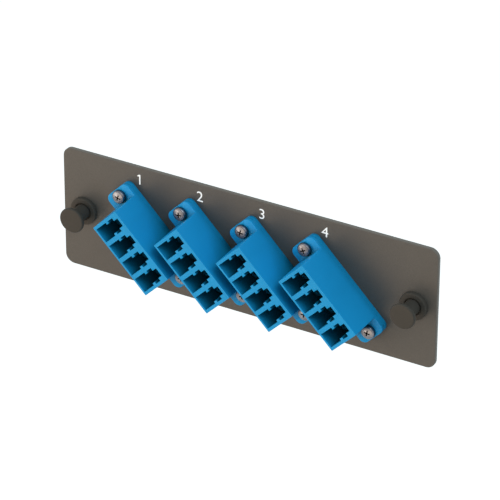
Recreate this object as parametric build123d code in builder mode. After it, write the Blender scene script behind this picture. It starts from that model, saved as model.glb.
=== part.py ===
from build123d import *
from math import cos, radians, sin, tan
import os

# Fibre optic coupler panel, sizes in millimetres.
# A flat plate carries a slanting row of four blue four-port couplers, each held by two screws
# and nuts through its ears, and one push-pull latch at each end that fixes the plate to a frame.
# The plate's back, which seats on the frame, is the plane y = 0. The couplers face -Y, +Z is up,
# and the origin is the middle of the plate's back.

# Plate
plate_width = 127.0
plate_height = 40.0
plate_thickness = 1.2
plate_corner = 3.0
edge_break = 0.2

# Row of couplers
coupler_count = 4
coupler_pitch = 21.1
row_shift = 0.7
row_height = -0.6
coupler_turn = 45.0

# Coupler flange, half of its thickness on each moulding
ear_reach = 2.35
flange_height = 9.7
flange_thickness = 2.9
flange_corner = 2.0

# Coupler body, measured at the flange
body_length = 25.8
body_height = 11.25
front_reach = 14.2
body_corner = 0.4
draft = 0.6
rear_end_relief = 0.15
rear_top_relief = 0.25
cutout_clearance = 0.12
cutout_corner = 0.45

# Ports in each open face
port_count = 4
port_pitch = 6.25
bottom_wall = 0.62
plug_width = 4.8
plug_height = 4.6
neck_width = 3.4
neck_height = 1.08
slot_height = 2.08
channel_width = 2.74
channel_height = 1.63
latch_depth = 7.6
catch_ledge = 1.7
catch_length = 2.6
catch_rise = 0.8
mid_wall = 2.8

# Alignment sleeves and the barrels that hold them
sleeve_outer = 1.62
sleeve_inner = 1.25
sleeve_length = 6.8
sleeve_slit = 0.22
sleeve_play = 0.07
sleeve_end_play = 0.15
barrel_wall = 0.6
barrel_lip = 1.0
ferrule_play = 0.01

# Pegs that register the two mouldings of a coupler
peg_diameter = 1.0
peg_height = 0.7
peg_clearance = 0.06
peg_end_clearance = 0.1
peg_rise = 2.4

# Screws and nuts
screw_offset = 2.4
thread_diameter = 2.1
head_diameter = 4.3
head_height = 1.5
head_edge = 0.5
screw_hole_clearance = 0.15
nut_flats = 4.8
nut_height = 1.6
nut_bore_clearance = 0.03
screw_end = 0.7

# Latches
latch_inset = 7.3
latch_height = 0.0
grommet_hole = 4.8
grommet_hole_clearance = 0.05
ring_diameter = 8.9
ring_thickness = 1.4
ring_bevel = 0.35
ring_floor = 0.7
neck_diameter = 4.8
neck_play = 0.2
seat_gap = 0.1
knob_diameter = 8.2
knob_thickness = 1.3
knob_edge = 0.4
knob_height = 8.0
shank_diameter = 2.5
shank_play = 0.1
frame_thickness = 2.0
barb_rise = 0.35
barb_ramp = 1.8
leg_tip = 1.6
leg_wall_at_tip = 0.35
leg_slot = 0.7
legs_root = 0.5
spreader_diameter = 3.1
spreader_length = 0.8
spreader_taper = 0.8
spreader_play = 0.1
latch_travel = 4.0
travel_stop_clearance = 0.2

# Places that follow from the sizes above
plate_front = -plate_thickness
screw_spacing = body_length + 2 * screw_offset
flange_length = screw_spacing + 2 * ear_reach
latch_spacing = plate_width - 2 * latch_inset
flange_half = flange_thickness / 2
body_top = flange_height / 2
body_bottom = body_top - body_height
face_inset = (front_reach - flange_thickness) * tan(radians(draft))
half_reach = front_reach - flange_half
plug_bottom = body_bottom + face_inset + bottom_wall
plug_top = plug_bottom + plug_height
neck_top = plug_top + neck_height
slot_top = neck_top + slot_height
channel_top = slot_top + channel_height
plug_middle = (plug_bottom + plug_top) / 2
port_places = [(n - (port_count - 1) / 2) * port_pitch for n in range(port_count)]
sleeve_bore = sleeve_outer + 2 * sleeve_play
lip_bore = sleeve_inner + 2 * ferrule_play
sleeve_pocket = sleeve_length / 2 + sleeve_end_play
barrel_tip = sleeve_pocket + barrel_lip
barrel_outer = sleeve_bore + 2 * barrel_wall
screw_hole = thread_diameter + 2 * screw_hole_clearance
ear_front = plate_thickness + flange_thickness
screw_length = ear_front + nut_height + screw_end
barrel_diameter = grommet_hole - 2 * grommet_hole_clearance
guide_bore = shank_diameter + 2 * shank_play
spread_bore = spreader_diameter + 2 * spreader_play
barb_start = frame_thickness
barb_peak = barb_start + barb_ramp
legs_end = barb_peak + leg_tip
spreader_start = legs_end - spreader_length / 2
guide_end = spreader_start - latch_travel - travel_stop_clearance


def coupler_x(number):
    """Where a coupler's middle lies along the plate."""
    return (number - (coupler_count - 1) / 2) * coupler_pitch + row_shift


def coupler_places():
    """One place for each coupler, turned with it, on a sketch that looks at the plate front."""
    turn = (0, 0, -coupler_turn)
    return [Location((coupler_x(n), row_height, 0), turn) for n in range(coupler_count)]


def screw_places():
    """Both screws of every coupler, on a sketch that looks at the plate front."""
    ends = [Location((side * screw_spacing / 2, 0, 0)) for side in (-1, 1)]
    return [place * end for place in coupler_places() for end in ends]


def half_plane(number, side, height=0.0):
    """Plane parallel to a coupler's weld face, height out from it: side -1 is front, 1 is rear.

    Its X runs along the coupler and its Y towards the latch side of the ports.
    """
    turn = radians(coupler_turn)
    origin = Vector(coupler_x(number), plate_front - flange_half + side * height, row_height)
    along = Vector(cos(turn), 0, -sin(turn)) * -side
    return Plane(origin=origin, x_dir=along, z_dir=(0, side, 0))


def coupler_half(number, side):
    """One moulding of a coupler: flange layer, drafted body, ports and sleeve barrels."""
    front = side < 0
    length = body_length if front else body_length - 2 * rear_end_relief
    top = body_top if front else body_top - rear_top_relief
    with BuildPart() as half:
        # Flange layer with its two ears, as deep as the body between them
        with BuildSketch(half_plane(number, side)):
            RectangleRounded(flange_length, flange_height, flange_corner)
            with Locations((0, (body_top + body_bottom) / 2)):
                Rectangle(body_length, body_height)
        extrude(amount=flange_half)

        # Body, drafted towards its open face
        with BuildSketch(half_plane(number, side, flange_half)):
            with Locations((0, (top + body_bottom) / 2)):
                RectangleRounded(length, top - body_bottom, body_corner)
        extrude(amount=half_reach - flange_half, taper=draft)

        # Plug openings down to the middle wall
        with BuildSketch(half_plane(number, side, mid_wall / 2)):
            with Locations(*[(x, plug_middle) for x in port_places]):
                Rectangle(plug_width, plug_height)
        extrude(amount=half_reach - mid_wall / 2, mode=Mode.SUBTRACT)

        # Stepped slot above each plug for its latch arm
        with BuildSketch(half_plane(number, side, half_reach - latch_depth)):
            with Locations(*[(x, (plug_top + neck_top) / 2) for x in port_places]):
                Rectangle(neck_width, neck_height)
            with Locations(*[(x, (neck_top + slot_top) / 2) for x in port_places]):
                Rectangle(plug_width, slot_height)
            with Locations(*[(x, (slot_top + channel_top) / 2) for x in port_places]):
                Rectangle(channel_width, channel_height)
        extrude(amount=latch_depth, mode=Mode.SUBTRACT)

        # Pocket behind the ledge, where the latch arm springs up
        with BuildSketch(half_plane(number, side, half_reach - catch_ledge - catch_length)):
            with Locations(*[(x, slot_top + catch_rise / 2) for x in port_places]):
                Rectangle(plug_width, catch_rise)
        extrude(amount=catch_length, mode=Mode.SUBTRACT)

        # Barrel on each plug axis
        with BuildSketch(half_plane(number, side, mid_wall / 2)):
            with Locations(*[(x, plug_middle) for x in port_places]):
                Circle(barrel_outer / 2)
        extrude(amount=barrel_tip - mid_wall / 2)
        with BuildSketch(half_plane(number, side)):
            with Locations(*[(x, plug_middle) for x in port_places]):
                Circle(sleeve_bore / 2)
        extrude(amount=sleeve_pocket, mode=Mode.SUBTRACT)
        with BuildSketch(half_plane(number, side, sleeve_pocket)):
            with Locations(*[(x, plug_middle) for x in port_places]):
                Circle(lip_bore / 2)
        extrude(amount=barrel_lip, mode=Mode.SUBTRACT)

        # Screw holes through the ears
        with BuildSketch(half_plane(number, side)):
            with Locations((-screw_spacing / 2, 0), (screw_spacing / 2, 0)):
                Circle(screw_hole / 2)
        extrude(amount=flange_half, mode=Mode.SUBTRACT)

        # Pegs on the front moulding, sockets in the rear one, between the outer ports
        peg_places = [(end * port_pitch, plug_middle + peg_rise) for end in (-1, 1)]
        peg_size = peg_diameter if front else peg_diameter + 2 * peg_clearance
        with BuildSketch(half_plane(number, side)):
            with Locations(*peg_places):
                Circle(peg_size / 2)
        if front:
            extrude(amount=-peg_height)
        else:
            extrude(amount=peg_height + peg_end_clearance, mode=Mode.SUBTRACT)
    return half.part


def split_sleeve(number, port):
    """Ceramic sleeve with one slit, half in each moulding."""
    wall_middle = (sleeve_outer + sleeve_inner) / 4
    with BuildPart() as sleeve:
        with BuildSketch(half_plane(number, -1)):
            with Locations((port_places[port], plug_middle)):
                Circle(sleeve_outer / 2)
                Circle(sleeve_inner / 2, mode=Mode.SUBTRACT)
            with Locations((port_places[port], plug_middle + wall_middle)):
                Rectangle(sleeve_slit, sleeve_outer - sleeve_inner, mode=Mode.SUBTRACT)
        extrude(amount=sleeve_length / 2, both=True)
    return sleeve.part


def latch_section(side):
    """Plane through a latch's axis: its X is the radius and its Y runs along the axis."""
    return Plane(origin=(side * latch_spacing / 2, 0, latch_height), x_dir=(1, 0, 0), z_dir=(0, 0, 1))


def latch_axis(side):
    """The line that a latch is turned about and slides along."""
    return Axis((side * latch_spacing / 2, 0, latch_height), (0, 1, 0))


def latch_grommet(side):
    """Nylon ring and split barrel that sits in the plate, with four legs behind it."""
    barb = barrel_diameter / 2 + barb_rise
    tip = spread_bore / 2 + leg_wall_at_tip
    recess = neck_diameter / 2 + neck_play
    ring_face = plate_front - ring_thickness
    with BuildPart() as grommet:
        with BuildSketch(latch_section(side)):
            with BuildLine():
                Polyline(
                    (guide_bore / 2, plate_front - ring_floor),
                    (recess, plate_front - ring_floor),
                    (recess, ring_face),
                    (ring_diameter / 2 - ring_bevel, ring_face),
                    (ring_diameter / 2, ring_face + ring_bevel),
                    (ring_diameter / 2, plate_front),
                    (barrel_diameter / 2, plate_front),
                    (barrel_diameter / 2, barb_start),
                    (barb, barb_peak),
                    (tip, legs_end),
                    (spread_bore / 2, legs_end),
                    (spread_bore / 2, guide_end),
                    (guide_bore / 2, guide_end),
                    close=True,
                )
            make_face()
        revolve(axis=latch_axis(side))
        middle = (side * latch_spacing / 2, legs_root, latch_height)
        with BuildSketch(Plane(origin=middle, x_dir=(1, 0, 0), z_dir=(0, 1, 0))):
            Rectangle(leg_slot, 2 * barb + leg_slot)
            Rectangle(2 * barb + leg_slot, leg_slot)
        extrude(amount=legs_end, mode=Mode.SUBTRACT)
    return grommet.part


def latch_plunger(side):
    """Nylon knob, neck and shank in one piece, with the spreader at its tip."""
    knob_front = plate_front - knob_height
    knob_back = knob_front + knob_thickness
    shoulder = plate_front - ring_floor - seat_gap
    spreader_ramp = (spreader_diameter - shank_diameter) / 2
    spreader_end = spreader_start + spreader_length
    with BuildPart() as plunger:
        with BuildSketch(latch_section(side)):
            with BuildLine():
                Polyline(
                    (0, knob_front),
                    (knob_diameter / 2, knob_front),
                    (knob_diameter / 2, knob_back),
                    (neck_diameter / 2, knob_back),
                    (neck_diameter / 2, shoulder),
                    (shank_diameter / 2, shoulder),
                    (shank_diameter / 2, spreader_start - spreader_ramp),
                    (spreader_diameter / 2, spreader_start),
                    (spreader_diameter / 2, spreader_end),
                    (shank_diameter / 2, spreader_end + spreader_taper),
                    (0, spreader_end + spreader_taper),
                    close=True,
                )
            make_face()
        revolve(axis=latch_axis(side))
        rims = plunger.edges().filter_by(GeomType.CIRCLE).group_by(SortBy.RADIUS)[-1]
        chamfer(rims, length=knob_edge)
    return plunger.part


def save(piece, name):
    """Label a finished piece and write it under the same name."""
    piece.label = name
    export_step(piece, f"parts/{name}.step")


os.makedirs("parts", exist_ok=True)

# Plate, with a slanting cutout and two screw holes for each coupler and a hole for each latch
with BuildPart() as plate:
    with BuildSketch(Plane.XZ):
        RectangleRounded(plate_width, plate_height, plate_corner)
    extrude(amount=plate_thickness)
    chamfer(plate.faces().sort_by(Axis.Y)[0].outer_wire().edges(), length=edge_break)
    with BuildSketch(Plane.XZ):
        cutout_top = body_top - rear_top_relief + cutout_clearance
        cutout_bottom = body_bottom - cutout_clearance
        cutout_length = body_length - 2 * rear_end_relief + 2 * cutout_clearance
        cutout_middle = Location((0, (cutout_top + cutout_bottom) / 2, 0))
        with Locations(*[place * cutout_middle for place in coupler_places()]):
            RectangleRounded(cutout_length, cutout_top - cutout_bottom, cutout_corner)
        with Locations(*screw_places()):
            Circle(screw_hole / 2)
        with Locations((-latch_spacing / 2, latch_height), (latch_spacing / 2, latch_height)):
            Circle(grommet_hole / 2)
    extrude(amount=plate_thickness, mode=Mode.SUBTRACT)
save(plate.part, "plate")

# Couplers: two welded mouldings and four sleeves each
for number in range(coupler_count):
    name = f"coupler_{number + 1}"
    save(coupler_half(number, -1), f"{name}_front_housing")
    save(coupler_half(number, 1), f"{name}_rear_housing")
    for port in range(port_count):
        save(split_sleeve(number, port), f"{name}_sleeve_{port + 1}")

# Pan head screws through the ears and the plate
with BuildPart() as mounting_screws:
    with BuildSketch(Plane.XZ.offset(ear_front)):
        with Locations(*screw_places()):
            Circle(head_diameter / 2)
    extrude(amount=head_height)
    chamfer(mounting_screws.edges().group_by(Axis.Y)[0], length=head_edge)
    with BuildSketch(Plane.XZ.offset(ear_front)):
        with Locations(*screw_places()):
            Circle(thread_diameter / 2)
    extrude(amount=-screw_length)
save(mounting_screws.part, "mounting_screws")

# Hexagon nuts behind the plate, with two flats square to the coupler's length
with BuildPart() as mounting_nuts:
    with BuildSketch(Plane.XZ):
        with Locations(*screw_places()):
            RegularPolygon(nut_flats / 2, 6, major_radius=False, rotation=30)
            Circle(thread_diameter / 2 + nut_bore_clearance, mode=Mode.SUBTRACT)
    extrude(amount=-nut_height)
save(mounting_nuts.part, "mounting_nuts")

# Latches, one at each end of the plate
for side, end in ((-1, "left"), (1, "right")):
    save(latch_grommet(side), f"{end}_latch_grommet")
    save(latch_plunger(side), f"{end}_latch_plunger")
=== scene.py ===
"""Looks, light and camera of the fibre optic coupler panel.

Sizes are in metres in the shared frame: the plate's back is y = 0, the couplers face -Y and +Z is up.
"""
import logging
import math
from collections.abc import Callable
from dataclasses import dataclass
from enum import Enum

import bmesh
import bpy
from mathutils import Matrix, Vector


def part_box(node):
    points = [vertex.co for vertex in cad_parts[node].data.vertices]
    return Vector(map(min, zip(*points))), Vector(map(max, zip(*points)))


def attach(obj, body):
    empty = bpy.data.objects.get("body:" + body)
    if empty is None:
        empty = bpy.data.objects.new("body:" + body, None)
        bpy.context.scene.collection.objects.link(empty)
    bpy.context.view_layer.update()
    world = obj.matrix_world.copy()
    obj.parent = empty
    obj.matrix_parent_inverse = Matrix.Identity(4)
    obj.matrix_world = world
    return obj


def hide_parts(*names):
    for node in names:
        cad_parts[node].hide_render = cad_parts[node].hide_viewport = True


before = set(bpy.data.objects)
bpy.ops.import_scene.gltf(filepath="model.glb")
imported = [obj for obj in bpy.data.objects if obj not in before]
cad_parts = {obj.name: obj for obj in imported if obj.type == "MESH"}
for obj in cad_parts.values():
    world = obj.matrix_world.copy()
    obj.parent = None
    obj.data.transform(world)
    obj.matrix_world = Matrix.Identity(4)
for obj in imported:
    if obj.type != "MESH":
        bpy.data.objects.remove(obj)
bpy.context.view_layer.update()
log = logging.getLogger("coupler_panel")

MM = 0.001
MERGE = 0.001 * MM
FINE_MERGE = MERGE / 10
SHARP = math.radians(30)
OPENNESS_SAMPLES = 8
RING_RADIANS = 20
GLYPH_DEPTH = 0.1
GLYPH_STEPS = 8
SCREW_SEED = 7
NUT_SEED = 1
SQUARE = [(-1, -1), (1, -1), (1, 1), (-1, 1)]
FLAGGED_ONE = [(0, 0), (0.13, 0), (0.13, 1), (0.02, 1), (-0.19, 0.87), (-0.15, 0.77), (0, 0.85)]

Colour = tuple[float, float, float]
Triple = tuple[float, float, float]
Pair = tuple[float, float]
Row = Callable[[float], Pair]
Socket = bpy.types.NodeSocket
Material = bpy.types.Material
Piece = bpy.types.Object


class Body(Enum):
    """Bodies of the frame that a piece can ride on."""

    PANEL = "panel"
    LEFT_KNOB = "left_knob"
    RIGHT_KNOB = "right_knob"


class Slot(Enum):
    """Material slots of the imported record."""

    COAT = "plate_coating"
    BLUE = "coupler_plastic"
    SCREW = "screw_metal"
    NUT = "nut_metal"
    NYLON = "latch_nylon"


class Side(Enum):
    """The two ends of the plate."""

    LEFT = "left"
    RIGHT = "right"


class Half(Enum):
    """The two mouldings of a coupler."""

    FRONT = "front"
    REAR = "rear"


class Pattern(Enum):
    """Where a finish takes the place of its pattern from."""

    OBJECT = "object"
    OWN = "own_place"


def fill(node: bpy.types.Node, **values: object) -> None:
    """Set plain values on a node's inputs; an underscore stands for a space in an input's name."""
    for name, value in values.items():
        node.inputs[name.replace("_", " ")].default_value = value


class Wiring:
    """A node tree, with a short call for each common step."""

    def __init__(self, tree: bpy.types.NodeTree) -> None:
        """Take the tree to work on."""
        self.tree = tree

    def add(self, kind: str, **settings: object) -> bpy.types.Node:
        """Add a node.

        Args:
            kind: The node's type.
            settings: Properties to set on it.

        Returns:
            The new node.
        """
        node = self.tree.nodes.new(kind)
        for name, value in settings.items():
            setattr(node, name, value)
        return node

    def join(self, source: Socket, target: Socket) -> None:
        """Link one socket to another."""
        self.tree.links.new(source, target)

    def spread(self, value: Socket, low: float = 0, high: float = 1,
               start: float = 0.3, end: float = 0.7) -> Socket:
        """Map a factor to a range.

        Args:
            value: The factor.
            low: Result at start.
            high: Result at end.
            start: Factor that gives low.
            end: Factor that gives high.

        Returns:
            The mapped value.
        """
        node = self.add("ShaderNodeMapRange")
        fill(node, From_Min=start, From_Max=end, To_Min=low, To_Max=high)
        self.join(value, node.inputs["Value"])
        return node.outputs["Result"]

    def blend(self, factor: Socket, first: Colour | Socket, second: Colour | Socket) -> Socket:
        """Blend two colours by a factor.

        Args:
            factor: 0 gives the first colour and 1 the second.
            first: Linear colour, or the socket that gives it.
            second: Linear colour, or the socket that gives it.

        Returns:
            The colour socket.
        """
        node = self.add("ShaderNodeMix", data_type="RGBA")
        self.join(factor, node.inputs["Factor"])
        for entry, colour in zip(("A", "B"), (first, second)):
            if isinstance(colour, Socket):
                self.join(colour, node.inputs[entry])
            else:
                node.inputs[entry].default_value = (*colour, 1)
        return node.outputs["Result"]

    def worked(self, operation: str, *values: Socket | float) -> Socket:
        """Result of a math operation on one or two values.

        Args:
            operation: The math node's operation.
            values: The values, each a socket or a number.

        Returns:
            The result.
        """
        node = self.add("ShaderNodeMath", operation=operation)
        for entry, value in zip(node.inputs, values):
            if isinstance(value, Socket):
                self.join(value, entry)
            else:
                entry.default_value = value
        return node.outputs["Value"]

    def seen_directly(self) -> Socket:
        """Tell rays from the camera, mirrors and glass from the light on matt surfaces.

        Returns:
            1 for those rays and 0 for that light.
        """
        path = self.add("ShaderNodeLightPath")
        seen = path.outputs["Is Camera Ray"]
        for name in ("Is Glossy Ray", "Is Transmission Ray"):
            seen = self.worked("MAXIMUM", seen, path.outputs[name])
        return seen


class Canvas(Wiring):
    """A new material's node tree, with a short call for each step of a finish."""

    def __init__(self, name: str, pattern: Pattern = Pattern.OBJECT) -> None:
        """Start a material with a Principled shader.

        Args:
            name: Name of the new material.
            pattern: Coordinates that the finish's textures read.
        """
        self.material = bpy.data.materials.new(name)
        self.material.use_nodes = True
        super().__init__(self.material.node_tree)
        self.tree.nodes.clear()
        self.shader = self.add("ShaderNodeBsdfPrincipled")
        output = self.add("ShaderNodeOutputMaterial")
        self.join(self.shader.outputs["BSDF"], output.inputs["Surface"])
        if pattern is Pattern.OBJECT:
            self.place = self.add("ShaderNodeTexCoord").outputs["Object"]
        else:
            self.place = self.add("ShaderNodeAttribute", attribute_name=pattern.value).outputs["Vector"]

    def stretched(self, stretch: Triple) -> Socket:
        """Place of the pattern, stretched.

        Args:
            stretch: Factor along each axis.

        Returns:
            The vector socket.
        """
        mapping = self.add("ShaderNodeMapping")
        fill(mapping, Scale=stretch)
        self.join(self.place, mapping.inputs["Vector"])
        return mapping.outputs["Vector"]

    def noise(self, size: float, detail: float = 2, place: Socket | None = None) -> Socket:
        """Soft random pattern.

        Args:
            size: Size of one blot, in metres.
            detail: Octaves of finer blots.
            place: Vector to read instead of the canvas's own.

        Returns:
            The factor socket, about 0.5 on average.
        """
        node = self.add("ShaderNodeTexNoise")
        fill(node, Scale=1 / size, Detail=detail)
        self.join(place or self.place, node.inputs["Vector"])
        return node.outputs["Fac"]

    def bump(self, height: Socket, depth: float, below: Socket | None = None) -> Socket:
        """Relief from a factor.

        Args:
            height: The factor.
            depth: Height of the relief, in metres.
            below: Normal of a coarser relief.

        Returns:
            The normal socket.
        """
        node = self.add("ShaderNodeBump")
        fill(node, Distance=depth)
        self.join(height, node.inputs["Height"])
        if below is not None:
            self.join(below, node.inputs["Normal"])
        return node.outputs["Normal"]

    def sizes(self, vector: Socket) -> dict[str, Socket]:
        """Parts of a vector without their signs.

        Args:
            vector: The vector socket.

        Returns:
            The value of each axis by its name.
        """
        split = self.add("ShaderNodeSeparateXYZ")
        self.join(vector, split.inputs["Vector"])
        return {axis: self.worked("ABSOLUTE", split.outputs[axis]) for axis in "XYZ"}

    def facing(self, axis: str) -> Socket:
        """How much a face looks along an axis of the piece, from 0 across it to 1 along it."""
        return self.sizes(self.add("ShaderNodeTexCoord").outputs["Normal"])[axis]

    def within(self, half_width: float, half_height: float) -> Socket:
        """Whether a place is inside an upright rectangle about the Y axis.

        Args:
            half_width: Half the rectangle's side along X, in metres.
            half_height: Half its side along Z, in metres.

        Returns:
            1 inside and 0 outside.
        """
        place = self.sizes(self.place)
        across = self.worked("LESS_THAN", place["X"], half_width)
        return self.worked("MULTIPLY", across, self.worked("LESS_THAN", place["Z"], half_height))

    def openness(self, reach: float) -> Socket:
        """How open a place lies.

        Args:
            reach: How far other faces count, in metres.

        Returns:
            The factor, from 0 deep in a pocket to 1 on an outer face.
        """
        node = self.add("ShaderNodeAmbientOcclusion", samples=OPENNESS_SAMPLES)
        fill(node, Distance=reach)
        return node.outputs["AO"]

    def finished(self, colour: Socket, roughness: Socket, normal: Socket) -> Material:
        """Drive the shader's sockets and end the finish.

        Args:
            colour: Base colour.
            roughness: Roughness.
            normal: Normal with the relief.

        Returns:
            The material.
        """
        for name, value in {"Base Color": colour, "Roughness": roughness, "Normal": normal}.items():
            self.join(value, self.shader.inputs[name])
        return self.material


def tinted(colour: Colour, factor: float) -> Colour:
    """The colour made lighter or darker by a factor."""
    return tuple(min(channel * factor, 1) for channel in colour)


@dataclass(frozen=True)
class PowderCoat:
    """Semi-matt powder coat with a fine orange peel, and a painted highlight on the sheet's outer edges."""

    colour: Colour = (0.113, 0.1, 0.089)
    roughness: Pair = (0.39, 0.51)
    sheen_level: float = 0.25
    peel: float = 0.9 * MM
    peel_depth: float = 0.012 * MM
    grain: float = 0.16 * MM
    grain_depth: float = 0.004 * MM
    cloud: float = 24 * MM
    cloud_tints: Pair = (0.95, 1.05)
    speckle_tint: float = 0.85
    front_range: Pair = (0.6, 0.9)
    # Lighter colour of the sheet's outer edges: a painted highlight, not the coat's own colour.
    edge_colour: Colour = (0.18, 0.155, 0.135)
    edge_margin: float = 2 * MM

    def material(self) -> Material:
        """Build the coat's material.

        Returns:
            The material.
        """
        canvas = Canvas("powder_coat")
        fill(canvas.shader, Specular_IOR_Level=self.sheen_level)
        clouds = canvas.spread(canvas.noise(self.cloud))
        speckle = canvas.spread(canvas.noise(self.grain, detail=1))
        broad = canvas.blend(clouds, *(tinted(self.colour, tint) for tint in self.cloud_tints))
        speckled = canvas.blend(speckle, tinted(self.colour, self.speckle_tint), broad)
        # Faces across Y near the sheet's outline take the lighter colour: painted highlight where the outer
        # edges catch the light.
        on_face = canvas.spread(canvas.facing("Y"), 0, 1, *self.front_range)
        right_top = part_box("plate")[1]
        inner = canvas.within(right_top[0] - self.edge_margin, right_top[2] - self.edge_margin)
        plain = canvas.worked("MAXIMUM", on_face, inner)
        colour = canvas.blend(plain, self.edge_colour, speckled)
        roughness = canvas.spread(canvas.noise(self.peel, detail=3), *self.roughness)
        peel = canvas.bump(canvas.noise(self.peel, detail=1), self.peel_depth)
        normal = canvas.bump(canvas.noise(self.grain), self.grain_depth, peel)
        return canvas.finished(colour, roughness, normal)


@dataclass(frozen=True)
class MouldedPlastic:
    """Injection moulded plastic with the fine spark texture of its mould, and painted shade in its pockets
    when a pocket colour is given.
    """

    name: str
    colour: Colour
    roughness: Pair
    grain: float = 0.09 * MM
    grain_depth: float = 0.0025 * MM
    flow: float = 7 * MM
    flow_stretch: Triple = (1, 0.35, 1)
    flow_tint: float = 0.03
    swells_per_flow: float = 3
    swell_depth: float = 0.005 * MM
    index: float = 1.5
    sheen_level: float = 0.3
    pocket_tint: Colour | None = None
    pocket_reach: float = 9 * MM
    pocket_range: Pair = (0.05, 0.75)

    def material(self) -> Material:
        """Build the plastic's material.

        Returns:
            The material.
        """
        canvas = Canvas(self.name)
        fill(canvas.shader, IOR=self.index, Specular_IOR_Level=self.sheen_level)
        flow = canvas.spread(canvas.noise(self.flow, place=canvas.stretched(self.flow_stretch)))
        low, high = tinted(self.colour, 1 - self.flow_tint), tinted(self.colour, 1 + self.flow_tint)
        skin = canvas.blend(flow, low, high)
        # Deep pockets take a darker colour: painted shade where the ports' insides lie in shadow.
        if self.pocket_tint:
            open_share = canvas.spread(canvas.openness(self.pocket_reach), 0, 1, *self.pocket_range)
            skin = canvas.blend(open_share, self.pocket_tint, skin)
        grain = canvas.noise(self.grain)
        swell = canvas.bump(canvas.noise(self.flow / self.swells_per_flow, detail=1), self.swell_depth)
        normal = canvas.bump(grain, self.grain_depth, swell)
        return canvas.finished(skin, canvas.spread(grain, *self.roughness), normal)


@dataclass(frozen=True)
class PlatedMetal:
    """Plated steel with the turned marks of its own blank under the plating, and painted shade in its
    recesses and at its contacts.
    """

    name: str
    colour: Colour
    tarnish: Colour
    roughness: Pair
    mark_pitch: float = 0.07 * MM
    mark_depth: float = 0.0012 * MM
    mark_wander: float = 0.6
    patch: float = 1.1 * MM
    recess_tint: Colour = (0.04, 0.036, 0.034)
    recess_reach: float = 0.8 * MM
    recess_range: Pair = (0.35, 0.8)

    def material(self) -> Material:
        """Build the metal's material.

        Returns:
            The material.
        """
        canvas = Canvas(self.name, Pattern.OWN)
        fill(canvas.shader, Metallic=1.0)
        patches = canvas.spread(canvas.noise(self.patch, detail=3))
        plating = canvas.blend(patches, self.colour, self.tarnish)
        # Recesses and contacts take a darker colour by how closed they are: painted shade.
        open_share = canvas.spread(canvas.openness(self.recess_reach), 0, 1, *self.recess_range)
        colour = canvas.blend(open_share, self.recess_tint, plating)
        rings = canvas.add("ShaderNodeTexWave", wave_type="RINGS", rings_direction="Y")
        fill(rings, Scale=2 * math.pi / (RING_RADIANS * self.mark_pitch), Distortion=self.mark_wander)
        canvas.join(canvas.place, rings.inputs["Vector"])
        normal = canvas.bump(rings.outputs["Fac"], self.mark_depth)
        return canvas.finished(colour, canvas.spread(patches, *self.roughness), normal)


@dataclass(frozen=True)
class Ceramic:
    """Ground zirconia of the alignment sleeves."""

    colour: Colour = (0.84, 0.82, 0.76)
    roughness: Pair = (0.16, 0.26)
    index: float = 2.1
    glow_weight: float = 0.15
    glow_reach: float = 0.3 * MM
    cloud: float = 1 * MM
    cloud_tint: float = 0.97
    grind: float = 0.05 * MM
    grind_depth: float = 0.0008 * MM
    grind_stretch: Triple = (1, 8, 1)

    def material(self) -> Material:
        """Build the ceramic's material.

        Returns:
            The material.
        """
        canvas = Canvas("ground_ceramic")
        fill(canvas.shader, IOR=self.index)
        fill(canvas.shader, Subsurface_Weight=self.glow_weight, Subsurface_Scale=self.glow_reach)
        lines = canvas.noise(self.grind, place=canvas.stretched(self.grind_stretch))
        colour = canvas.blend(canvas.noise(self.cloud), tinted(self.colour, self.cloud_tint), self.colour)
        normal = canvas.bump(lines, self.grind_depth)
        return canvas.finished(colour, canvas.spread(lines, *self.roughness), normal)


@dataclass(frozen=True)
class Ink:
    """Screen printed white ink, a little uneven, with a faint painted glow that brightens it."""

    colour: Colour = (1.0, 1.0, 1.0)
    roughness: Pair = (0.45, 0.6)
    weave: float = 0.11 * MM
    weave_depth: float = 0.003 * MM
    weave_tint: float = 0.95
    # Light that the ink gives off: a painted glow, since print is no lamp.
    glow: float = 0.25

    def material(self) -> Material:
        """Build the ink's material.

        Returns:
            The material.
        """
        canvas = Canvas("white_ink")
        # The emission brightens the print: painted light.
        fill(canvas.shader, Emission_Color=(*self.colour, 1), Emission_Strength=self.glow)
        mesh = canvas.noise(self.weave, detail=1)
        colour = canvas.blend(canvas.spread(mesh), tinted(self.colour, self.weave_tint), self.colour)
        normal = canvas.bump(mesh, self.weave_depth)
        return canvas.finished(colour, canvas.spread(mesh, *self.roughness), normal)


@dataclass(frozen=True)
class Corner:
    """A point of a turned profile: its radius, its place along the axis and the rounding of its corner."""

    radius: float
    height: float
    rounding: float = 0.0

    def at(self) -> Vector:
        """The corner as a flat vector."""
        return Vector((self.radius, self.height))


def rounded(corners: list[Corner], closed: bool = False, steps: int = 5) -> list[Vector]:
    """Replace each corner that has a rounding by points on its arc.

    Args:
        corners: The profile's corners in order.
        closed: Whether the last corner joins the first.
        steps: Chords of each arc.

    Returns:
        The profile's points.
    """
    first = corners[-1] if closed else corners[0]
    last = corners[0] if closed else corners[-1]
    points = []
    for before, here, after in zip([first] + corners[:-1], corners, corners[1:] + [last]):
        if not here.rounding:
            points.append(here.at())
            continue
        back = (before.at() - here.at()).normalized()
        ahead = (after.at() - here.at()).normalized()
        half_angle = back.angle(ahead) / 2
        reach = here.rounding / math.tan(half_angle)
        centre = here.at() + (back + ahead).normalized() * here.rounding / math.sin(half_angle)
        start = here.at() + back * reach - centre
        end = here.at() + ahead * reach - centre
        for step in range(steps + 1):
            points.append(centre + start.lerp(end, step / steps).normalized() * here.rounding)
    return points


def link(name: str, data: bpy.types.ID) -> Piece:
    """Put a mesh, text, lamp or camera into the scene as an object at the origin."""
    piece = bpy.data.objects.new(name, data)
    bpy.context.scene.collection.objects.link(piece)
    return piece


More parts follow.
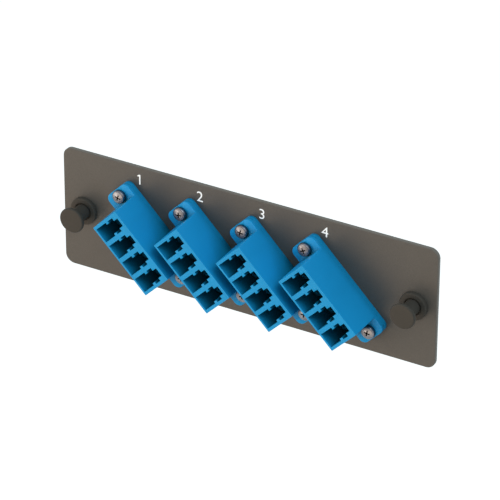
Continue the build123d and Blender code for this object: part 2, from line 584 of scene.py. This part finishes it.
def linked_shape(name: str, shape: bmesh.types.BMesh) -> Piece:
    """Put a shape into the scene as an object at the origin.

    Args:
        name: Name of the object.
        shape: The shape, which is freed.

    Returns:
        The object.
    """
    mesh = bpy.data.meshes.new(name)
    shape.to_mesh(mesh)
    shape.free()
    return link(name, mesh)


def box_around(points: list[Vector]) -> tuple[Vector, Vector]:
    """Lowest and highest corner of the box around some points."""
    return tuple(Vector([pick(point[axis] for point in points) for axis in range(3)]) for pick in (min, max))


def bridge(shape: bmesh.types.BMesh, rings: list[list[bmesh.types.BMVert]]) -> None:
    """Join each ring of points to the next by faces.

    Args:
        shape: The shape that holds the points.
        rings: The rings in order, all with the same number of points.
    """
    for ring, following in zip(rings, rings[1:]):
        for step in range(len(ring)):
            after = (step + 1) % len(ring)
            shape.faces.new((ring[step], ring[after], following[after], following[step]))


def from_rows(name: str, rows: list[Row], segments: int, axis: Pair = (0, 0), closed: bool = False) -> Piece:
    """Build a shape around an axis along Y from rows that give a radius and a height at each angle.

    Args:
        name: Name of the object.
        rows: One function for each ring of points.
        segments: Points in each ring.
        axis: X and Z of the axis.
        closed: Whether the last row joins the first.

    Returns:
        The object, with its faces pointing outwards.
    """
    shape = bmesh.new()
    rings = []
    for row in rows:
        ring = []
        for step in range(segments):
            angle = 2 * math.pi * step / segments
            radius, height = row(angle)
            point = (axis[0] + radius * math.cos(angle), height, axis[1] + radius * math.sin(angle))
            ring.append(shape.verts.new(point))
        rings.append(ring)
    bridge(shape, rings + rings[:1] if closed else rings)
    bmesh.ops.remove_doubles(shape, verts=shape.verts, dist=FINE_MERGE)
    bmesh.ops.recalc_face_normals(shape, faces=shape.faces)
    return linked_shape(name, shape)


def turned(profile: list[Vector]) -> list[Row]:
    """Rows of a turned shape, from points with the radius first and the height second."""
    return [lambda angle, point=point: (point.x, point.y) for point in profile]


def prism(name: str, outline: list[Pair], levels: list[Pair]) -> Piece:
    """Stack copies of an outline along Y, each at its own scale, and close both ends.

    Args:
        name: Name of the object.
        outline: X and Z of its points.
        levels: Height and scale of each copy.

    Returns:
        The closed object.
    """
    shape = bmesh.new()
    rings = []
    for height, scale in levels:
        rings.append([shape.verts.new((x * scale, height, z * scale)) for x, z in outline])
    bridge(shape, rings)
    shape.faces.new(rings[0])
    shape.faces.new(rings[-1])
    bmesh.ops.recalc_face_normals(shape, faces=shape.faces)
    return linked_shape(name, shape)


def cross_outline(reach: float, width: float) -> list[Pair]:
    """Outline of an upright cross.

    Args:
        reach: From the middle to the end of an arm.
        width: Width of an arm.

    Returns:
        Its twelve points in order.
    """
    half = width / 2
    arm = [(half, half), (reach, half), (reach, -half)]
    points = []
    for quarter in range(4):
        turn = Matrix.Rotation(-quarter * math.pi / 2, 2)
        points += [tuple(turn @ Vector(point)) for point in arm]
    return points


def settle(piece: Piece) -> Piece:
    """Turn a piece's modifiers into a plain mesh.

    Args:
        piece: The piece.

    Returns:
        The same piece.
    """
    depsgraph = bpy.context.evaluated_depsgraph_get()
    depsgraph.update()
    mesh = bpy.data.meshes.new_from_object(piece.evaluated_get(depsgraph), preserve_all_data_layers=True,
                                           depsgraph=depsgraph)
    piece.modifiers.clear()
    old, piece.data = piece.data, mesh
    bpy.data.meshes.remove(old)
    mesh.name = piece.name
    return piece


def cut(piece: Piece, *cutters: Piece) -> Piece:
    """Take the cutters' shapes out of a piece and delete the cutters.

    Args:
        piece: The piece.
        cutters: Closed objects.

    Returns:
        The same piece, as a plain mesh.
    """
    for cutter in cutters:
        boolean = piece.modifiers.new(cutter.name, "BOOLEAN")
        boolean.operation = "DIFFERENCE"
        boolean.solver = "EXACT"
        boolean.object = cutter
    settle(piece)
    for cutter in cutters:
        bpy.data.objects.remove(cutter)
    return piece


def mark_outer_edges(piece: Piece) -> None:
    """Mark a piece's sharp outward edges for rounding and leave its inward corners as they are.

    Args:
        piece: The piece.
    """
    shape = bmesh.new()
    shape.from_mesh(piece.data)
    weight = shape.edges.layers.float.new("bevel_weight_edge")
    for edge in shape.edges:
        if edge.is_manifold and edge.is_convex and edge.calc_face_angle() > SHARP:
            edge[weight] = 1
    shape.to_mesh(piece.data)
    shape.free()


def ease(piece: Piece, width: float = 0, segments: int = 2) -> Piece:
    """Round a piece's sharp outward edges and shade it smooth.

    Args:
        piece: The piece.
        width: Width of the rounding, or 0 for none.
        segments: Facets across the rounding.

    Returns:
        The same piece, as a plain mesh.
    """
    if width:
        mark_outer_edges(piece)
        bevel = piece.modifiers.new("edges", "BEVEL")
        bevel.width = width
        bevel.segments = segments
        bevel.limit_method = "WEIGHT"
        bevel.use_clamp_overlap = False
        bevel.miter_outer = "MITER_ARC"
        settle(piece)
    piece.data.polygons.foreach_set("use_smooth", [True] * len(piece.data.polygons))
    piece.data.set_sharp_from_angle(angle=SHARP)
    normals = piece.modifiers.new("normals", "WEIGHTED_NORMAL")
    normals.keep_sharp = True
    return settle(piece)


def copied(node: str, name: str) -> Piece:
    """Copy a CAD node's mesh, joined at its seams and without its stored corner normals.

    Args:
        node: The CAD node.
        name: Name of the copy.

    Returns:
        The copy.
    """
    shape = bmesh.new()
    shape.from_mesh(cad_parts[node].data)
    bmesh.ops.remove_doubles(shape, verts=shape.verts, dist=MERGE)
    piece = linked_shape(name, shape)
    attributes = piece.data.attributes
    if "custom_normal" in attributes:
        attributes.remove(attributes["custom_normal"])
    return piece


def solid_places(node: str) -> list[tuple[Vector, Vector]]:
    """Boxes of the separate solids in a CAD node.

    Args:
        node: The CAD node.

    Returns:
        Lowest and highest corner of each solid, from left to right.
    """
    shape = bmesh.new()
    shape.from_mesh(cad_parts[node].data)
    bmesh.ops.remove_doubles(shape, verts=shape.verts, dist=MERGE)
    left, boxes = set(shape.verts), []
    while left:
        group, edge = set(), [left.pop()]
        while edge:
            vertex = edge.pop()
            group.add(vertex)
            near = {link_edge.other_vert(vertex) for link_edge in vertex.link_edges} & left
            left -= near
            edge += near
        boxes.append(box_around([vertex.co for vertex in group]))
    shape.free()
    return sorted(boxes, key=lambda box: box[0].x)


def dress(piece: Piece, material: Material, body: Body, slot: Slot, *nodes: str) -> None:
    """Give a finished piece its material and body, and hide the CAD nodes that it stands for.

    Args:
        piece: The piece.
        material: Its finish.
        body: The body that it rides on.
        slot: The record's slot of that finish; not used.
        nodes: CAD nodes that it replaces.
    """
    piece.data.materials.clear()
    piece.data.materials.append(material)
    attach(piece, body.value)
    if nodes:
        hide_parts(*nodes)
    log.info("%s: %d faces on %s", piece.name, len(piece.data.polygons), body.value)


class FastenerPattern(Wiring):
    """Geometry Nodes tree that sets one fastener at each point and turns it by chance about its axis."""

    def __init__(self) -> None:
        """Build the tree with its named inputs."""
        super().__init__(bpy.data.node_groups.new("fastener_pattern", "GeometryNodeTree"))
        self.inputs = {
            name: self.tree.interface.new_socket(name, in_out="INPUT", socket_type=kind).identifier
            for name, kind in {
                "Geometry": "NodeSocketGeometry",
                "Fastener": "NodeSocketObject",
                "Turn": "NodeSocketFloat",
                "Seed": "NodeSocketInt",
                "Material": "NodeSocketMaterial",
            }.items()
        }
        self.tree.interface.new_socket("Geometry", in_out="OUTPUT", socket_type="NodeSocketGeometry")
        nodes = {
            name: self.add(kind)
            for name, kind in {
                "start": "NodeGroupInput",
                "fastener": "GeometryNodeObjectInfo",
                "turn": "ShaderNodeCombineXYZ",
                "chance": "FunctionNodeRandomValue",
                "set": "GeometryNodeInstanceOnPoints",
                "real": "GeometryNodeRealizeInstances",
                "finish": "GeometryNodeSetMaterial",
                "end": "NodeGroupOutput",
            }.items()
        }
        nodes["chance"].data_type = "FLOAT_VECTOR"
        links = [
            ("start", "Fastener", "fastener", "Object"),
            ("start", "Turn", "turn", "Y"),
            ("turn", "Vector", "chance", "Max"),
            ("start", "Seed", "chance", "Seed"),
            ("start", "Geometry", "set", "Points"),
            ("fastener", "Geometry", "set", "Instance"),
            ("chance", "Value", "set", "Rotation"),
            ("set", "Instances", "real", "Geometry"),
            ("real", "Geometry", "finish", "Geometry"),
            ("start", "Material", "finish", "Material"),
            ("finish", "Geometry", "end", "Geometry"),
        ]
        for source, output, target, entry in links:
            self.join(nodes[source].outputs[output], nodes[target].inputs[entry])
        fill(nodes["chance"], Min=(0, 0, 0))

    def lay_out(self, name: str, master: Piece, places: list[Vector], turn: float, seed: int,
                material: Material) -> Piece:
        """Set a fastener at each place and make the result a plain mesh.

        Args:
            name: Name of the piece.
            master: The fastener on an axis through the origin, deleted afterwards.
            places: Where each copy's origin goes.
            turn: Largest turn about the axis, in radians.
            seed: Seed of the turns.
            material: Finish of the copies.

        Returns:
            The piece with all copies.
        """
        points = bpy.data.meshes.new(name)
        points.from_pydata([tuple(place) for place in places], [], [])
        piece = link(name, points)
        modifier = piece.modifiers.new("pattern", "NODES")
        modifier.node_group = self.tree
        values = {"Fastener": master, "Turn": turn, "Seed": seed, "Material": material}
        for entry, value in values.items():
            modifier[self.inputs[entry]] = value
        settle(piece)
        bpy.data.objects.remove(master)
        return piece


@dataclass
class Plate:
    """Coated sheet that carries everything, with the printed coupler numbers."""

    number_height: float = 3.3 * MM
    number_base: float = 14.25 * MM
    number_shift: float = -5.9 * MM
    ink_thickness: float = 0.03 * MM
    stroke_gain: float = -0.002

    def build(self, coat: Material) -> None:
        """Build the sheet."""
        sheet = ease(copied("plate", "coated_plate"))
        dress(sheet, coat, Body.PANEL, Slot.COAT, "plate")

    def print_numbers(self, middles: list[Vector], ink: Material) -> None:
        """Print a number above each coupler.

        Args:
            middles: The couplers' middles.
            ink: Finish of the print.
        """
        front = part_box("plate")[0][1]
        for number, middle in enumerate(middles, start=1):
            name = f"printed_{number}"
            if number == 1:
                glyph = prism(name, FLAGGED_ONE, [(-GLYPH_DEPTH, 1), (GLYPH_DEPTH, 1)])
            else:
                glyph = lettering(name, str(number), self.stroke_gain)
            low, high = box_around([vertex.co for vertex in glyph.data.vertices])
            scale = self.number_height / (high.z - low.z)
            for vertex in glyph.data.vertices:
                across = (vertex.co.x - (low.x + high.x) / 2) * scale + middle.x + self.number_shift
                out = self.ink_thickness if vertex.co.y < 0 else 0
                up = (vertex.co.z - low.z) * scale + self.number_base
                vertex.co = (across, front - out, up)
            dress(glyph, ink, Body.PANEL, Slot.COAT)


def lettering(name: str, words: str, gain: float) -> Piece:
    """Make flat characters with thickness, in the font's own units.

    Args:
        name: Name of the object.
        words: The characters.
        gain: Widening of the stroke, or thinning if below 0.

    Returns:
        The mesh object, which faces -Y.
    """
    text = bpy.data.curves.new(name, "FONT")
    text.body = words
    text.resolution_u = GLYPH_STEPS
    text.extrude = GLYPH_DEPTH
    text.offset = gain
    glyph = link(name, text)
    depsgraph = bpy.context.evaluated_depsgraph_get()
    mesh = bpy.data.meshes.new_from_object(glyph.evaluated_get(depsgraph))
    bpy.data.objects.remove(glyph)
    shape = bmesh.new()
    shape.from_mesh(mesh)
    bmesh.ops.remove_doubles(shape, verts=shape.verts, dist=MERGE)
    bmesh.ops.rotate(shape, verts=shape.verts, matrix=Matrix.Rotation(math.pi / 2, 3, "X"))
    shape.to_mesh(mesh)
    shape.free()
    return link(name, mesh)


@dataclass
class Coupler:
    """Four-port coupler: two welded mouldings with a ceramic sleeve on each port's axis."""

    number: int
    edge_ease: float = 0.07 * MM
    ports: int = 4

    def mould(self, plastic: Material) -> None:
        """Build both mouldings with eased edges.

        Args:
            plastic: Finish of the mouldings.
        """
        for half in Half:
            node = f"coupler_{self.number}_{half.value}_housing"
            shell = ease(copied(node, f"moulded_{node}"), self.edge_ease)
            dress(shell, plastic, Body.PANEL, Slot.BLUE, node)

    def fit_sleeves(self, ceramic: Material) -> None:
        """Give the sleeves their ceramic finish.

        Args:
            ceramic: The finish.
        """
        for port in range(1, self.ports + 1):
            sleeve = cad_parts[f"coupler_{self.number}_sleeve_{port}"]
            sleeve.data.materials.clear()
            sleeve.data.materials.append(ceramic)


def keep_place(piece: Piece) -> None:
    """Store the place of each point on the piece, for patterns that go with every copy of it.

    Args:
        piece: The piece.
    """
    places = [part for vertex in piece.data.vertices for part in vertex.co]
    attribute = piece.data.attributes.new(Pattern.OWN.value, "FLOAT_VECTOR", "POINT")
    attribute.data.foreach_set("vector", places)


@dataclass
class Screw:
    """Pan head screw with a cross recess and a cut thread; heights run from the head's underside."""

    head_radius: float = 2.15 * MM
    head_height: float = 1.5 * MM
    crown: float = 0.3 * MM
    dome_steps: int = 6
    edge_round: float = 0.6 * MM
    seat_round: float = 0.06 * MM
    thread_radius: float = 1.05 * MM
    root_radius: float = 0.84 * MM
    pitch: float = 0.4 * MM
    flank_slope: float = 1.4
    root_flat: float = 0.2
    tip_chamfer: float = 0.3 * MM
    recess_reach: float = 1.3 * MM
    recess_width: float = 0.58 * MM
    recess_depth: float = 0.85 * MM
    recess_taper: float = 0.6
    rows_per_turn: int = 6
    segments: int = 48

    def thread_row(self, height: float, length: float) -> Row:
        """One ring of the thread.

        Args:
            height: Where the ring lies.
            length: Where the screw ends.

        Returns:
            The ring's radius and height at each angle.
        """
        tip = self.thread_radius - self.tip_chamfer + length - height

        def row(angle: float) -> Pair:
            """Radius and height at an angle."""
            phase = (height / self.pitch - angle / (2 * math.pi)) % 1
            flank = min(max(self.flank_slope * abs(2 * phase - 1) - self.root_flat, 0), 1)
            radius = self.root_radius + (self.thread_radius - self.root_radius) * flank
            return min(radius, tip), height

        return row

    def master(self, length: float) -> Piece:
        """Build one screw on an axis through the origin.

        Args:
            length: From the head's underside to the tip.

        Returns:
            The screw.
        """
        dome = []
        for step in range(self.dome_steps):
            share = step / self.dome_steps
            dome.append(Corner(share * self.head_radius, share ** 2 * self.crown - self.head_height))
        head = rounded(dome + [
            Corner(self.head_radius, self.crown - self.head_height, self.edge_round),
            Corner(self.head_radius, 0, self.seat_round),
            Corner(self.thread_radius, 0),
        ])
        rows = turned(head)
        count = round(length / self.pitch * self.rows_per_turn)
        rows += [self.thread_row(length * step / count, length) for step in range(1, count + 1)]
        rows.append(lambda angle: (0, length))
        screw = from_rows("screw", rows, self.segments)
        outline = cross_outline(self.recess_reach, self.recess_width)
        mouth, floor = -2 * self.head_height, self.recess_depth - self.head_height
        cut(screw, prism("recess", outline, [(mouth, 1), (floor, self.recess_taper)]))
        ease(screw)
        keep_place(screw)
        return screw


@dataclass
class Nut:
    """Hexagon nut with cut corners; heights run from the plate's back."""

    flats_radius: float = 2.4 * MM
    height: float = 1.6 * MM
    bore_radius: float = 1.08 * MM
    lead: float = 0.18 * MM
    corner_cut: float = 0.24 * MM
    cut_steps: int = 4
    cut_slope: float = math.tan(math.radians(60))
    turn: float = math.radians(-45)
    segments: int = 96

    def side_row(self, height: float) -> Row:
        """One ring of the six sides, with the corners cut towards both faces.

        Args:
            height: Where the ring lies.

        Returns:
            The ring's radius and height at each angle.
        """
        limit = self.flats_radius + min(height, self.height - height) * self.cut_slope

        def row(angle: float) -> Pair:
            """Radius and height at an angle."""
            sixth = math.pi / 3
            off = (angle - self.turn + sixth / 2) % sixth - sixth / 2
            return min(self.flats_radius / math.cos(off), limit), height

        return row

    def master(self) -> Piece:
        """Build one nut on an axis through the origin.

        Returns:
            The nut.
        """
        steps = [self.corner_cut * step / self.cut_steps for step in range(self.cut_steps + 1)]
        heights = steps + [self.height - step for step in reversed(steps)]
        mouth = self.bore_radius + self.lead
        rows = [lambda angle: (mouth, 0)]
        rows += [self.side_row(height) for height in heights]
        rows.append(lambda angle: (mouth, self.height))
        rows.append(lambda angle: (self.bore_radius, self.height - self.lead))
        rows.append(lambda angle: (self.bore_radius, self.lead))
        nut = from_rows("nut", rows, self.segments, closed=True)
        ease(nut)
        keep_place(nut)
        return nut


@dataclass
class Latch:
    """Push-pull latch: a grommet held in the plate and a plunger that slides in it.

    Radii are about the latch's axis, and heights run backwards from the plate's back.
    """

    side: Side
    ring_radius: float = 4.45 * MM
    ring_face: float = -2.6 * MM
    ring_floor: float = -1.9 * MM
    ring_round: float = 0.35 * MM
    ring_lip: float = 0.5 * MM
    plate_front: float = -1.2 * MM
    recess_radius: float = 2.6 * MM
    guide_radius: float = 1.35 * MM
    guide_end: float = 0.77 * MM
    spread_radius: float = 1.65 * MM
    barrel_radius: float = 2.35 * MM
    barb_start: float = 2.0 * MM
    barb_peak: float = 3.8 * MM
    barb_radius: float = 2.7 * MM
    tip_radius: float = 2.0 * MM
    legs_root: float = 0.5 * MM
    legs_end: float = 5.4 * MM
    leg_slot: float = 0.7 * MM
    knob_radius: float = 4.1 * MM
    knob_front: float = -9.2 * MM
    knob_back: float = -7.9 * MM
    knob_round: float = 0.5 * MM
    neck_radius: float = 2.4 * MM
    shoulder: float = -2.0 * MM
    shank_radius: float = 1.25 * MM
    spreader_radius: float = 1.55 * MM
    spreader_ramp: float = 4.7 * MM
    spreader_start: float = 5.0 * MM
    spreader_end: float = 5.8 * MM
    plunger_end: float = 6.6 * MM
    small_round: float = 0.1 * MM
    segments: int = 96

    def axis(self) -> Pair:
        """X and Z of the latch's axis."""
        low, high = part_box(f"{self.side.value}_latch_plunger")
        return (low[0] + high[0]) / 2, (low[2] + high[2]) / 2

    def grommet(self, nylon: Material) -> None:
        """Build the ring and the split barrel with its four legs.

        Args:
            nylon: Their finish.
        """
        section = rounded([
            Corner(self.guide_radius, self.ring_floor, self.small_round),
            Corner(self.recess_radius, self.ring_floor),
            Corner(self.recess_radius, self.ring_face, self.ring_lip),
            Corner(self.ring_radius, self.ring_face, self.ring_round),
            Corner(self.ring_radius, self.plate_front),
            Corner(self.barrel_radius, self.plate_front),
            Corner(self.barrel_radius, self.barb_start),
            Corner(self.barb_radius, self.barb_peak, self.small_round),
            Corner(self.tip_radius, self.legs_end, self.small_round),
            Corner(self.spread_radius, self.legs_end),
            Corner(self.spread_radius, self.guide_end),
            Corner(self.guide_radius, self.guide_end),
        ], closed=True)
        name = f"{self.side.value}_moulded_grommet"
        ring = from_rows(name, turned(section), self.segments, self.axis(), closed=True)
        cut(ring, self.slot_cutter(0), self.slot_cutter(1))
        ease(ring)
        dress(ring, nylon, Body.PANEL, Slot.NYLON, f"{self.side.value}_latch_grommet")

    def slot_cutter(self, quarter: int) -> Piece:
        """Block that splits the barrel.

        Args:
            quarter: 0 for the slot along X and 1 for the one along Z.

        Returns:
            The block.
        """
        x, z = self.axis()
        long, short = 2 * self.barb_radius, self.leg_slot / 2
        half = (long, short) if quarter == 0 else (short, long)
        outline = [(x + u * half[0], z + v * half[1]) for u, v in SQUARE]
        levels = [(self.legs_root, 1), (2 * self.legs_end, 1)]
        return prism(f"slot_{quarter}", outline, levels)

    def plunger(self, nylon: Material) -> None:
        """Build the knob, neck, shank and spreader in one turned piece.

        Args:
            nylon: Their finish.
        """
        profile = rounded([
            Corner(0, self.knob_front),
            Corner(self.knob_radius, self.knob_front, self.knob_round),
            Corner(self.knob_radius, self.knob_back, self.knob_round),
            Corner(self.neck_radius, self.knob_back, 3 * self.small_round),
            Corner(self.neck_radius, self.shoulder, self.small_round),
            Corner(self.shank_radius, self.shoulder),
            Corner(self.shank_radius, self.spreader_ramp),
            Corner(self.spreader_radius, self.spreader_start, self.small_round),
            Corner(self.spreader_radius, self.spreader_end, self.small_round),
            Corner(self.shank_radius, self.plunger_end, self.small_round),
            Corner(0, self.plunger_end),
        ])
        knob = from_rows(f"{self.side.value}_moulded_knob", turned(profile), self.segments, self.axis())
        ease(knob)
        dress(knob, nylon, Body[f"{self.side.name}_KNOB"], Slot.NYLON, f"{self.side.value}_latch_plunger")


@dataclass(frozen=True)
class Lamp:
    """Square soft lamp that looks at the origin.

    Its share is the brightness that it gives a white card that faces it.
    """

    name: str
    direction: Triple
    share: float
    tint: Colour
    distance: float = 1.1
    size: float = 0.45

    def hang(self) -> None:
        """Hang the lamp in the scene."""
        light = bpy.data.lights.new(self.name, "AREA")
        light.shape = "SQUARE"
        light.size = self.size
        light.color = self.tint
        light.energy = self.share * (math.pi * self.distance) ** 2
        towards = Vector(self.direction).normalized()
        turn = towards.to_track_quat("Z", "Y").to_matrix().to_4x4()
        link(self.name, light).matrix_world = Matrix.Translation(towards * self.distance) @ turn


@dataclass
class Studio:
    """Camera, lamps, white surroundings and floor."""

    azimuth: float = 29.38
    elevation: float = 30.0
    roll: float = 0.31
    target: Triple = (1.404 * MM, -1.2 * MM, 2.568 * MM)
    distance: float = 1.0421
    lens: float = 253.2
    sensor: float = 36.0
    view_limit: float = 100.0
    lamps: tuple[Lamp, ...] = (
        Lamp("front_softbox", (-0.7, -0.7, -0.1), 0.6, (1, 0.82, 0.66), distance=1.8, size=1.64),
        Lamp("low_softbox", (-0.25, -0.8, -0.5), 0.25, (1, 0.62, 0.28), distance=1.4, size=1.1),
        Lamp("top_softbox", (0.5, -0.3, 0.8), 0.22, (0.84, 0.96, 1)),
    )
    surround: float = 0.54
    surround_tint: Colour = (0.74, 0.94, 1.0)
    floor_height: float = -0.8
    floor_size: float = 12.0
    floor_colour: float = 0.6
    floor_glow: float = 0.75

    def aim_camera(self) -> None:
        """Set the camera at the photograph's viewing angle."""
        turn, tilt, roll = (math.radians(angle) for angle in (self.azimuth, self.elevation, self.roll))
        back = Vector((math.sin(turn) * math.cos(tilt), -math.cos(turn) * math.cos(tilt), math.sin(tilt)))
        level = Vector((math.cos(turn), math.sin(turn), 0))
        upright = level.cross(-back)
        right = level * math.cos(roll) + upright * math.sin(roll)
        up = upright * math.cos(roll) - level * math.sin(roll)
        lens = bpy.data.cameras.new("camera")
        lens.lens = self.lens
        lens.sensor_width = self.sensor
        lens.clip_end = self.view_limit
        camera = link("camera", lens)
        place = Matrix.Translation(Vector(self.target) + back * self.distance)
        camera.matrix_world = place @ Matrix((right, up, back)).transposed().to_4x4()
        bpy.context.scene.camera = camera

    def light_surroundings(self) -> None:
        """Surround the scene with plain white, softer and cooler as a light than to the eye."""
        world = bpy.data.worlds.new("surroundings")
        world.use_nodes = True
        wiring = Wiring(world.node_tree)
        direct = wiring.seen_directly()
        background = wiring.tree.nodes["Background"]
        wiring.join(wiring.blend(direct, self.surround_tint, (1, 1, 1)), background.inputs["Color"])
        wiring.join(wiring.spread(direct, self.surround, 1, 0, 1), background.inputs["Strength"])
        bpy.context.scene.world = world

    def lay_floor(self) -> None:
        """Lay the pale floor below the panel."""
        half = self.floor_size / 2
        mesh = bpy.data.meshes.new("floor")
        corners = [(u * half, v * half, self.floor_height) for u, v in SQUARE]
        mesh.from_pydata(corners, [], [(0, 1, 2, 3)])
        floor = link("floor", mesh)
        material = bpy.data.materials.new("pale_floor")
        material.use_nodes = True
        wiring = Wiring(material.node_tree)
        wiring.tree.nodes.clear()
        matt = wiring.add("ShaderNodeBsdfDiffuse")
        fill(matt, Color=(self.floor_colour,) * 3 + (1,))
        glow = wiring.add("ShaderNodeEmission")
        wiring.join(wiring.spread(wiring.seen_directly(), 0, self.floor_glow, 0, 1), glow.inputs["Strength"])
        both = wiring.add("ShaderNodeAddShader")
        wiring.join(matt.outputs["BSDF"], both.inputs[0])
        wiring.join(glow.outputs["Emission"], both.inputs[1])
        output = wiring.add("ShaderNodeOutputMaterial")
        wiring.join(both.outputs["Shader"], output.inputs["Surface"])
        mesh.materials.append(material)

    def set_up(self) -> None:
        """Set up the whole studio."""
        bpy.context.scene.view_settings.view_transform = "Standard"
        self.aim_camera()
        for lamp in self.lamps:
            lamp.hang()
        self.light_surroundings()
        self.lay_floor()


def coupler_middles(screws: list[Vector]) -> list[Vector]:
    """Middle of each coupler, halfway between its upper and its lower screw.

    Args:
        screws: The screws' places from left to right.

    Returns:
        The middles from left to right.
    """
    level = sum(place.z for place in screws) / len(screws)
    upper = [place for place in screws if place.z > level]
    lower = [place for place in screws if place.z < level]
    return [(first + second) / 2 for first, second in zip(upper, lower)]


def main() -> None:
    """Build every piece in order."""
    logging.basicConfig(level=logging.INFO, format="%(message)s")
    coat = PowderCoat().material()
    # The blue plastic's pocket colour paints shade into the ports.
    blue = MouldedPlastic("blue_plastic", (0.013, 0.355, 0.755), (0.3, 0.4), sheen_level=0.12,
                          pocket_tint=(0.0, 0.1, 0.13)).material()
    nylon = MouldedPlastic("grey_nylon", (0.076, 0.066, 0.057), (0.38, 0.48), sheen_level=0.06).material()
    nickel = PlatedMetal("bright_nickel", (0.22, 0.225, 0.25), (0.12, 0.122, 0.135), (0.27, 0.39)).material()
    zinc = PlatedMetal("zinc_plate", (0.64, 0.64, 0.62), (0.5, 0.51, 0.5), (0.32, 0.44)).material()

    heads = solid_places("mounting_screws")
    screws = [Vector(((low.x + high.x) / 2, 0, (low.z + high.z) / 2)) for low, high in heads]
    middles = coupler_middles(screws)

    plate = Plate()
    plate.build(coat)
    plate.print_numbers(middles, Ink().material())

    ceramic = Ceramic().material()
    for number in range(1, len(middles) + 1):
        coupler = Coupler(number)
        coupler.mould(blue)
        coupler.fit_sleeves(ceramic)

    pattern = FastenerPattern()
    screw, nut = Screw(), Nut()
    seat = heads[0][0].y + screw.head_height
    master = screw.master(heads[0][1].y - seat)
    places = [place + Vector((0, seat, 0)) for place in screws]
    bright = pattern.lay_out("cross_recess_screws", master, places, 2 * math.pi, SCREW_SEED, nickel)
    dress(bright, nickel, Body.PANEL, Slot.SCREW, "mounting_screws")
    plain = pattern.lay_out("hexagon_nuts", nut.master(), screws, 0, NUT_SEED, zinc)
    dress(plain, zinc, Body.PANEL, Slot.NUT, "mounting_nuts")

    for side in Side:
        latch = Latch(side)
        latch.grommet(nylon)
        latch.plunger(nylon)

    Studio().set_up()


if __name__ == "__main__":
    main()
